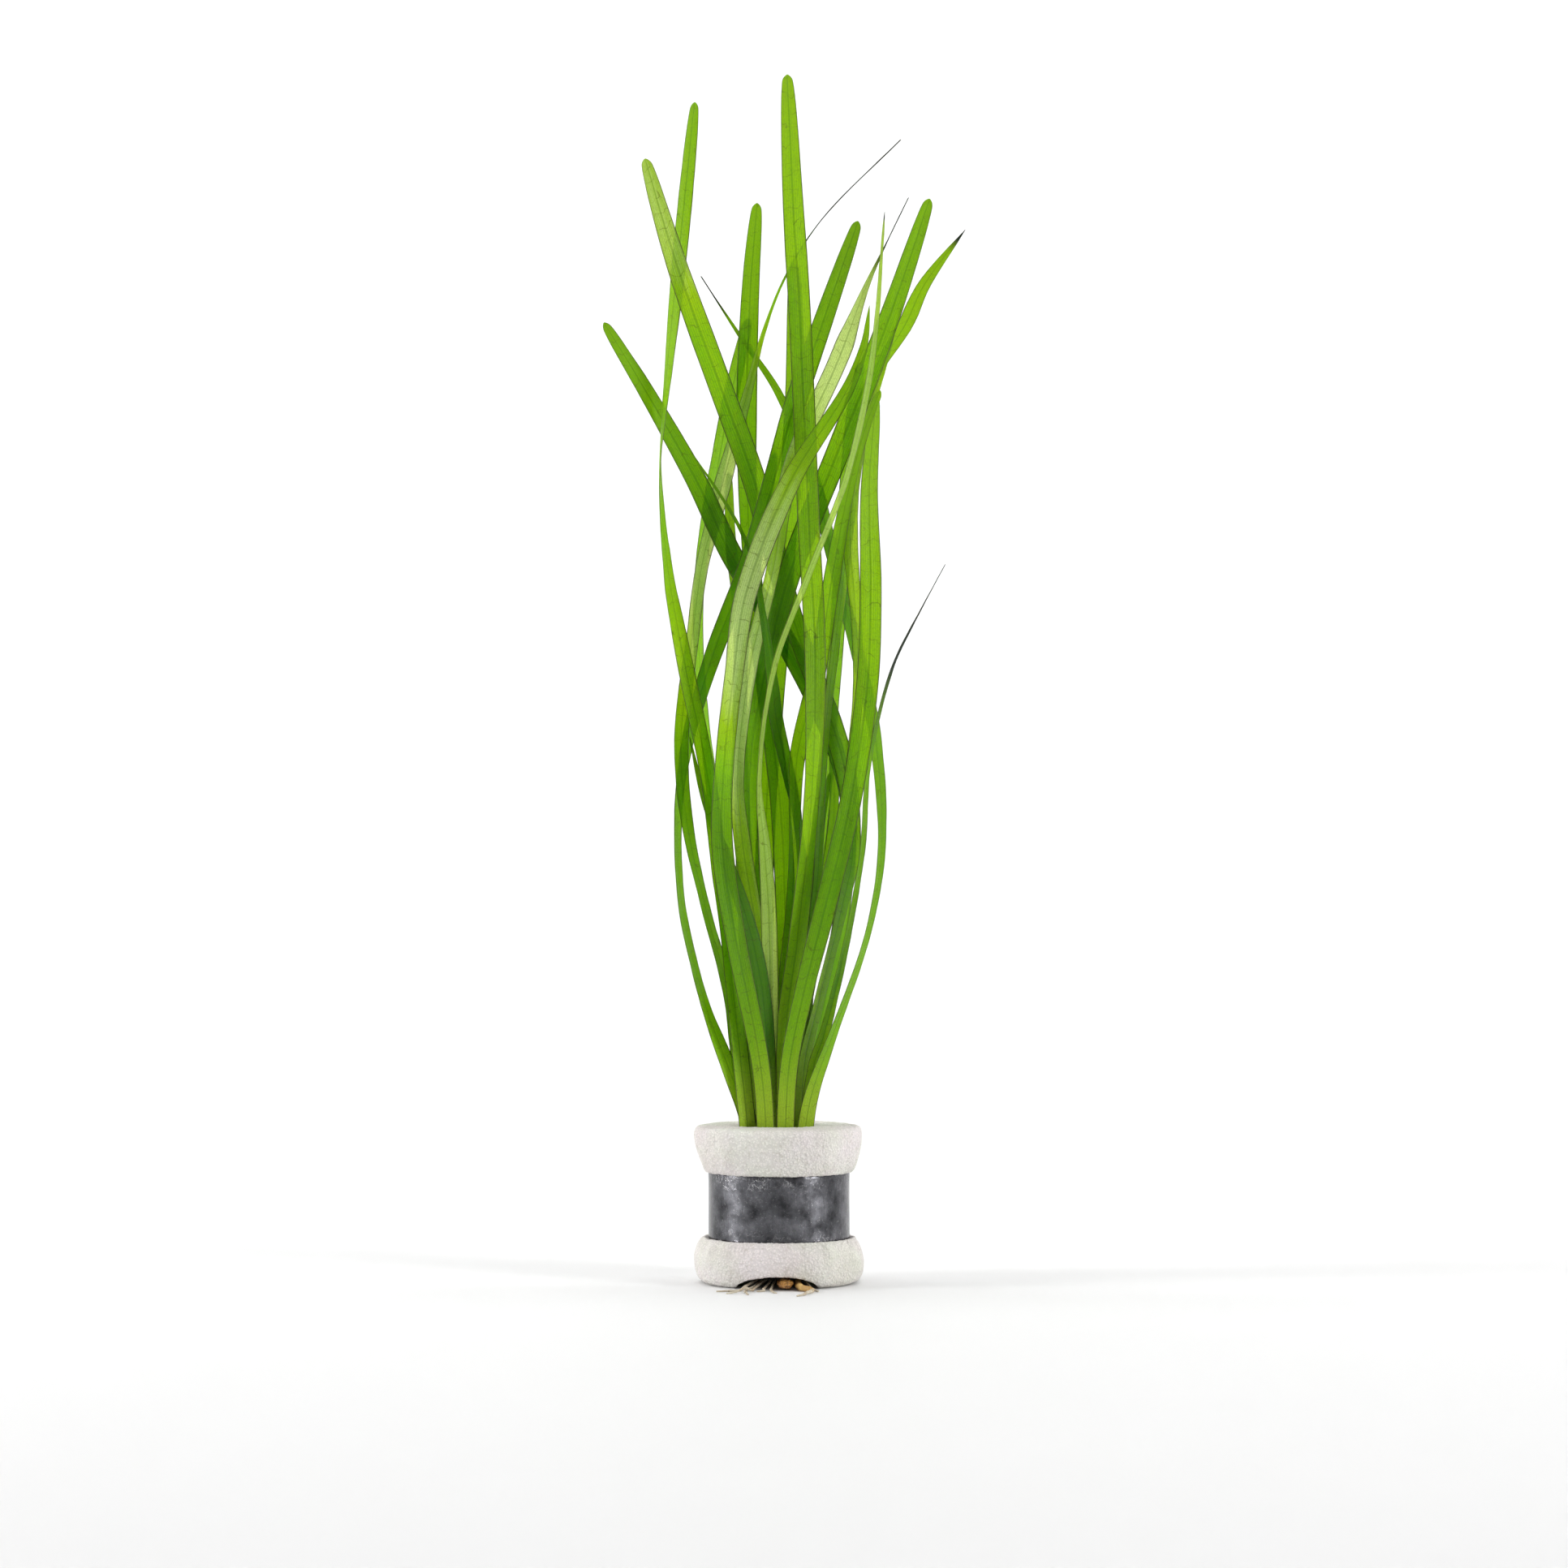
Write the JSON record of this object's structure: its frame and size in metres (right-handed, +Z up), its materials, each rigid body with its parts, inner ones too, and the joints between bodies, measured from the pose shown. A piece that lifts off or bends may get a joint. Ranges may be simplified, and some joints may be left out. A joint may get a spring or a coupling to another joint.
{
  "type": "vallisneria",
  "caption": "Bunch of narrow ribbon leaves of eelgrass on a short rootstock, held in a white foam sleeve wrapped with a lead weight strip; it stands upright on the flat end of the sleeve.",
  "frame": {"origin": "centre of the bounding box in plan, on the ground plane under the flat end of the foam sleeve; the sleeve's axis is at X = 0, Y = 0", "axes": "+Z up along the leaves, -Y towards the pictured side, +X to the right of that view"},
  "size_m": [0.0804, 0.0619, 0.2667],
  "materials": {
    "foam": "matte white open-cell sponge",
    "lead": "dull grey scuffed soft metal strip",
    "rootstock": "pale moist plant tissue",
    "rhizome": "brown orange lumpy rhizome",
    "leaf": "glossy translucent green leaf with fine long veins",
    "root": "pale tan root"
  },
  "bodies": {
    "root": {"foam_sleeve": "foam", "lead_band": "lead", "rootstock": "rootstock", "rhizome_stub": "rhizome", "leaf_01": "leaf", "leaf_02": "leaf", "leaf_03": "leaf", "leaf_04": "leaf", "leaf_05": "leaf", "leaf_06": "leaf", "leaf_07": "leaf", "leaf_08": "leaf", "leaf_09": "leaf", "leaf_10": "leaf", "leaf_11": "leaf", "leaf_12": "leaf", "leaf_13": "leaf", "leaf_14": "leaf", "leaf_15": "leaf", "leaf_16": "leaf", "leaf_17": "leaf", "leaf_18": "leaf", "leaf_19": "leaf", "leaf_20": "leaf", "leaf_21": "leaf", "leaf_22": "leaf", "leaf_23": "leaf", "leaf_24": "leaf", "leaf_25": "leaf", "leaf_26": "leaf", "root_1": "root", "root_2": "root", "root_3": "root", "root_4": "root", "root_5": "root", "root_6": "root", "root_7": "root"}
  },
  "joints": []
}
